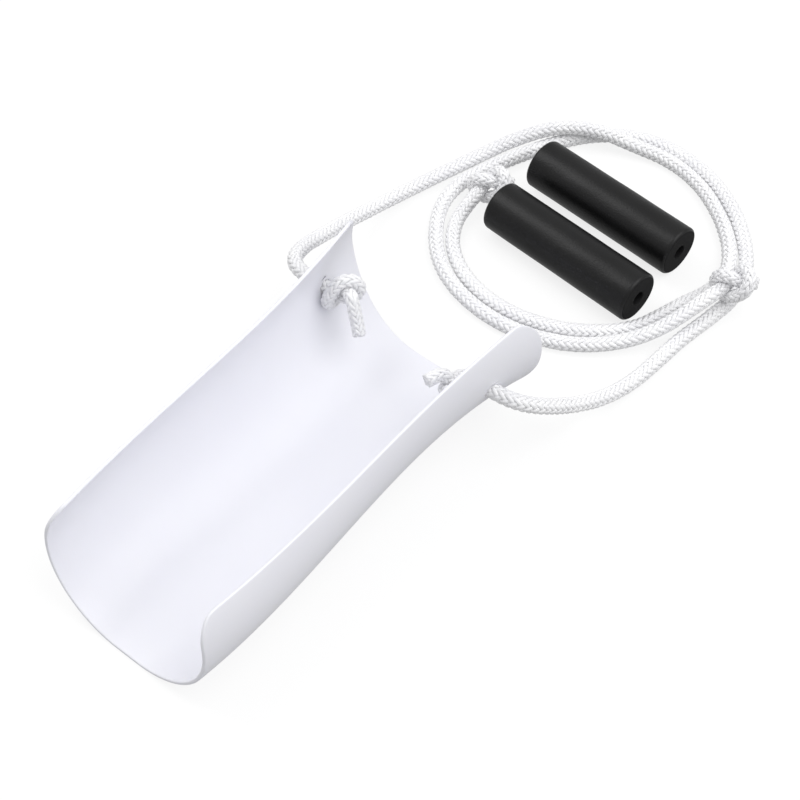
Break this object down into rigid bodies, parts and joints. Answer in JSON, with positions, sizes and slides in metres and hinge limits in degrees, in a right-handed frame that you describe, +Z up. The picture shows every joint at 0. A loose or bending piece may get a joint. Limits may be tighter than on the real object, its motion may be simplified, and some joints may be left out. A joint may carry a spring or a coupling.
{
  "type": "sock aid",
  "caption": "Sock aid: an open plastic trough with a heel cut-out, a braided pull cord knotted into each ear, and loose foam grips lying in the cords' ring.",
  "frame": {"origin": "on the floor plane, at the middle of the flat strip that the trough rests on, half way along the trough", "axes": "+Y along the trough towards the heel end and the cords, +Z up out of the trough's open side, +X to the right ear"},
  "size_m": [0.2097, 0.4435, 0.0704],
  "materials": {
    "trough": "semi-gloss moulded sheet, white",
    "cord": "braided synthetic cord, white",
    "grip": "matt closed-cell foam, black"
  },
  "bodies": {
    "trough": {"trough": "trough", "left_cord": "cord", "right_cord": "cord", "left_stop_knot": "cord", "right_stop_knot": "cord", "left_end_knot": "cord", "right_end_knot": "cord"},
    "front_grip": {"front_grip": "grip"},
    "rear_grip": {"rear_grip": "grip"}
  },
  "joints": [
    {"name": "front_grip_lift", "type": "slide", "parent": "trough", "child": "front_grip", "axis": [0, 0, 1], "range_m": [0, 0.12]},
    {"name": "rear_grip_lift", "type": "slide", "parent": "trough", "child": "rear_grip", "axis": [0, 0, 1], "range_m": [0, 0.12]}
  ]
}
